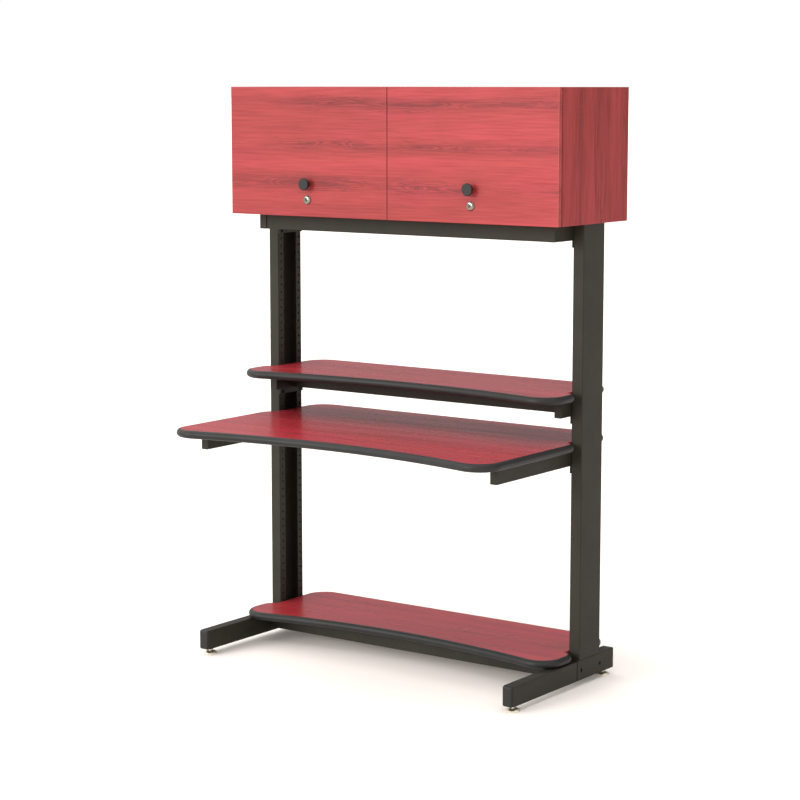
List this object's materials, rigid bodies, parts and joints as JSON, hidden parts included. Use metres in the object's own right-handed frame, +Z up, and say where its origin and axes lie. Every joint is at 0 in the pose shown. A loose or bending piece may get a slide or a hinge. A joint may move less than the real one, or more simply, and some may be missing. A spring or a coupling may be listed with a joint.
{
  "type": "dispatch console",
  "caption": "Standing dispatch console: channel uprights on box-tube feet carry a lift-door cabinet, an upper shelf, a bowed work surface and a lower shelf.",
  "frame": {"origin": "on the floor, midway across the overall width and depth", "axes": "+Z up, +Y to the back, +X to the right seen from the front"},
  "size_m": [1.2368, 0.7494, 1.8242],
  "materials": {
    "charcoal_powder_coat": "fine-textured charcoal powder coat",
    "black_moulded_plastic": "satin black moulded plastic",
    "black_oxide_steel": "black oxide on steel fasteners",
    "zinc_plated_steel": "bright zinc plate",
    "polished_chrome": "polished chrome plate",
    "charcoal_edging": "satin charcoal vinyl, half-round",
    "red_board_laminate": "smooth deep red wood-grain laminate",
    "red_cabinet_laminate": "satin red wood-grain laminate"
  },
  "bodies": {
    "console": {"board_screws": "zinc_plated_steel", "cabinet_back": "red_cabinet_laminate", "cabinet_beam": "charcoal_powder_coat", "cabinet_bottom": "red_cabinet_laminate", "cabinet_hinge_leaves": "zinc_plated_steel", "cabinet_left_arm": "charcoal_powder_coat", "cabinet_left_side": "red_cabinet_laminate", "cabinet_partition": "red_cabinet_laminate", "cabinet_right_arm": "charcoal_powder_coat", "cabinet_right_side": "red_cabinet_laminate", "cabinet_top": "red_cabinet_laminate", "glide_inserts": "black_oxide_steel", "heel_bolts": "black_oxide_steel", "heel_plugs": "black_moulded_plastic", "hinge_pins": "zinc_plated_steel", "left_heel": "charcoal_powder_coat", "left_toe": "charcoal_powder_coat", "left_toe_cap": "black_moulded_plastic", "left_upright": "charcoal_powder_coat", "lock_strikes": "zinc_plated_steel", "lower_shelf": "red_board_laminate", "lower_shelf_beam": "charcoal_powder_coat", "lower_shelf_cleats": "charcoal_powder_coat", "lower_shelf_edging": "charcoal_edging", "plate_bolts": "black_oxide_steel", "plate_nuts": "zinc_plated_steel", "right_heel": "charcoal_powder_coat", "right_toe": "charcoal_powder_coat", "right_toe_cap": "black_moulded_plastic", "right_upright": "charcoal_powder_coat", "upper_shelf": "red_board_laminate", "upper_shelf_beam": "charcoal_powder_coat", "upper_shelf_edging": "charcoal_edging", "upper_shelf_left_arm": "charcoal_powder_coat", "upper_shelf_right_arm": "charcoal_powder_coat", "work_surface": "red_board_laminate", "work_surface_beam": "charcoal_powder_coat", "work_surface_edging": "charcoal_edging", "work_surface_left_arm": "charcoal_powder_coat", "work_surface_right_arm": "charcoal_powder_coat"},
    "left_door_leaf": {"left_door": "red_cabinet_laminate", "left_door_hinge_leaf": "zinc_plated_steel", "left_knob": "black_moulded_plastic", "left_knob_screw": "zinc_plated_steel", "left_lock_housing": "polished_chrome", "left_lock_nut": "polished_chrome"},
    "left_lock_turn": {"left_lock_plug": "polished_chrome", "left_lock_cam": "zinc_plated_steel"},
    "right_door_leaf": {"right_door": "red_cabinet_laminate", "right_door_hinge_leaf": "zinc_plated_steel", "right_knob": "black_moulded_plastic", "right_knob_screw": "zinc_plated_steel", "right_lock_housing": "polished_chrome", "right_lock_nut": "polished_chrome"},
    "right_lock_turn": {"right_lock_plug": "polished_chrome", "right_lock_cam": "zinc_plated_steel"},
    "front_left_foot": {"front_left_glide": "polished_chrome"},
    "front_right_foot": {"front_right_glide": "polished_chrome"},
    "rear_left_foot": {"rear_left_glide": "polished_chrome"},
    "rear_right_foot": {"rear_right_glide": "polished_chrome"}
  },
  "joints": [
    {"name": "left_door_lift", "type": "hinge", "parent": "console", "child": "left_door_leaf", "pos_m": [-0.30995, -0.00645, 1.8207], "axis": [-1, 0, 0], "range_deg": [0, 90]},
    {"name": "left_lock_quarter_turn", "type": "hinge", "parent": "left_door_leaf", "child": "left_lock_turn", "pos_m": [-0.30995, -0.00775, 1.4713], "axis": [0, 1, 0], "range_deg": [0, 90]},
    {"name": "right_door_lift", "type": "hinge", "parent": "console", "child": "right_door_leaf", "pos_m": [0.30995, -0.00645, 1.8207], "axis": [-1, 0, 0], "range_deg": [0, 90]},
    {"name": "right_lock_quarter_turn", "type": "hinge", "parent": "right_door_leaf", "child": "right_lock_turn", "pos_m": [0.30995, -0.00775, 1.4713], "axis": [0, 1, 0], "range_deg": [0, 90]},
    {"name": "front_left_level", "type": "slide", "parent": "console", "child": "front_left_foot", "axis": [0, 0, 1], "range_m": [-0.01, 0.004]},
    {"name": "front_right_level", "type": "slide", "parent": "console", "child": "front_right_foot", "axis": [0, 0, 1], "range_m": [-0.01, 0.004]},
    {"name": "rear_left_level", "type": "slide", "parent": "console", "child": "rear_left_foot", "axis": [0, 0, 1], "range_m": [-0.01, 0.004]},
    {"name": "rear_right_level", "type": "slide", "parent": "console", "child": "rear_right_foot", "axis": [0, 0, 1], "range_m": [-0.01, 0.004]}
  ]
}
